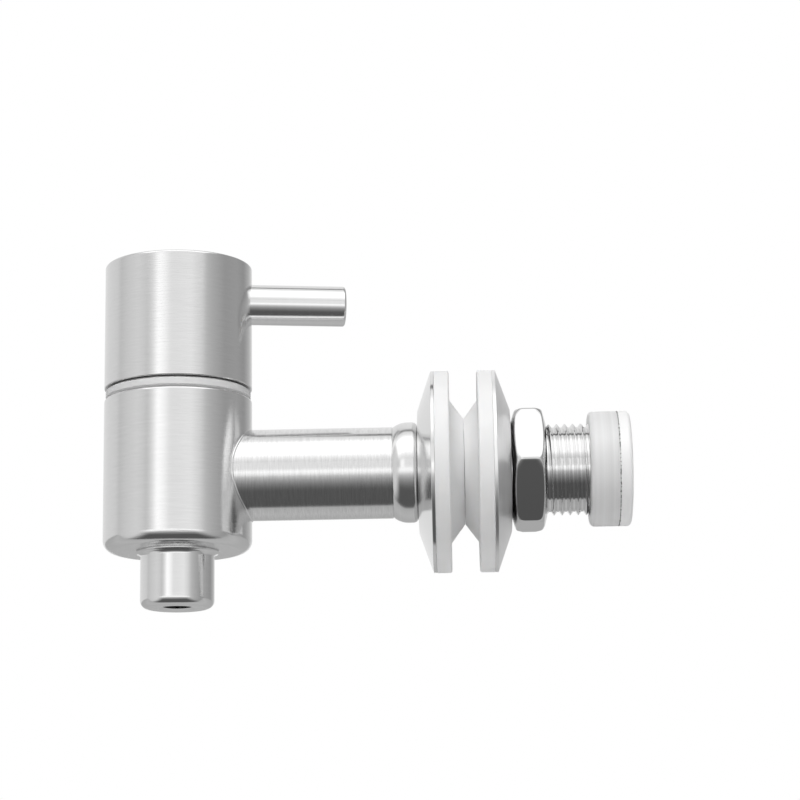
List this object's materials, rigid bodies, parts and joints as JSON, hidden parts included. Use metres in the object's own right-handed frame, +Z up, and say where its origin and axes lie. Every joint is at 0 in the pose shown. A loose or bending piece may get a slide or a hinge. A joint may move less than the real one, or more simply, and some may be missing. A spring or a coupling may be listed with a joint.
{
  "type": "beverage dispenser spigot",
  "caption": "Quarter-turn drink dispenser tap with a lever cap, a clamped wall shank with gaskets and nut, and a push-on strainer.",
  "frame": {"origin": "on the shank's axis, in the plane where the front gasket meets the vessel wall", "axes": "+X along the shank into the vessel, +Z up, the barrel and its spout stand at -X"},
  "size_m": [0.0921, 0.0354, 0.061],
  "materials": {
    "brushed_steel": "fine brushing round the barrel, satin",
    "brushed_pipe_steel": "fine brushing round the pipe, satin",
    "polished_steel": "turned and polished",
    "satin_steel": "smooth satin",
    "mirror_steel": "mirror polished",
    "mesh_steel": "woven wire",
    "white_silicone": "matte white silicone",
    "white_plastic": "white moulded",
    "frosted_plastic": "frosted, lets light through",
    "slippery_plastic": "smooth white",
    "brass": "machined",
    "ceramic": "lapped, glossy",
    "black_rubber": "soft black"
  },
  "bodies": {
    "tap_body": {"valve_body": "brushed_steel", "inlet_pipe": "brushed_pipe_steel", "threaded_shank": "polished_steel", "outlet_spout": "polished_steel", "glide_ring": "white_plastic", "front_cup_washer": "mirror_steel", "front_gasket": "white_silicone", "cartridge_housing": "brass", "fixed_disc": "ceramic", "seat_seal": "black_rubber", "housing_o_ring": "black_rubber"},
    "handle": {"handle_cap": "brushed_steel", "lever": "satin_steel", "spindle": "brass", "rotating_disc": "ceramic", "spindle_o_rings": "black_rubber", "slide_washer": "slippery_plastic", "spindle_clip": "polished_steel"},
    "clamp_stack": {"rear_gasket": "white_silicone", "rear_cup_washer": "mirror_steel"},
    "nut": {"hex_nut": "mirror_steel"},
    "strainer": {"strainer_sleeve": "frosted_plastic", "strainer_mesh": "mesh_steel", "strainer_cap": "white_plastic"}
  },
  "joints": [
    {"name": "handle_turn", "type": "hinge", "parent": "tap_body", "child": "handle", "pos_m": [-0.0478, 0, 0], "axis": [0, 0, 1], "range_deg": [-8.6, 81.4]},
    {"name": "rear_stack_slide", "type": "slide", "parent": "tap_body", "child": "clamp_stack", "axis": [1, 0, 0], "range_m": [0, 0.007]},
    {"name": "nut_spin", "type": "hinge", "parent": "clamp_stack", "child": "nut", "pos_m": [0.0137, 0, 0], "axis": [1, 0, 0], "range_deg": [0, 1750]},
    {"name": "strainer_pull", "type": "slide", "parent": "tap_body", "child": "strainer", "axis": [1, 0, 0], "range_m": [0, 0.03]}
  ],
  "couplings": [
    {"joint": "rear_stack_slide", "follows": "nut_spin", "m_per_rad": 0.0002228}
  ]
}
